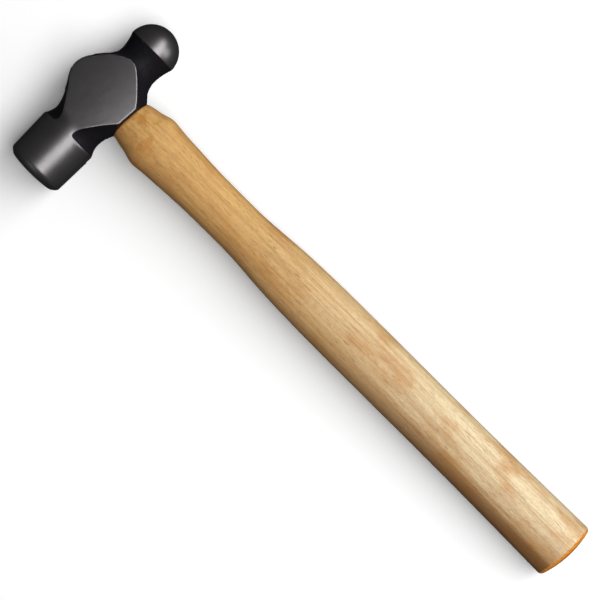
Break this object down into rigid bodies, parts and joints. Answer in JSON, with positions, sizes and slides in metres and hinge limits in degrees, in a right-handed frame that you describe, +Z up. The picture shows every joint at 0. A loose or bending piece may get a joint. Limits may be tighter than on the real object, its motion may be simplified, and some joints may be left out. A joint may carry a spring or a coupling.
{
  "type": "ball peen hammer",
  "caption": "Ball peen hammer with a forged and ground steel head, a diamond-shaped eye block and a waisted wooden handle held by wedges.",
  "frame": {"origin": "middle of the bounding box in X and Y, at the level of the lowest line of the poll, with the hammer lying on its side", "axes": "+X along the handle towards the head, +Y along the head towards the flat striking face, +Z up, out of the plane of the hammer"},
  "size_m": [0.3819, 0.1104, 0.0366],
  "materials": {
    "forged_steel": "satin, black between the ground surfaces",
    "hickory": "clear lacquer",
    "wedge_wood": "bare",
    "wedge_steel": "as cut"
  },
  "bodies": {
    "root": {"hammer_head": "forged_steel", "handle": "hickory", "wooden_wedge": "wedge_wood", "steel_wedge_front": "wedge_steel", "steel_wedge_rear": "wedge_steel"}
  },
  "joints": []
}
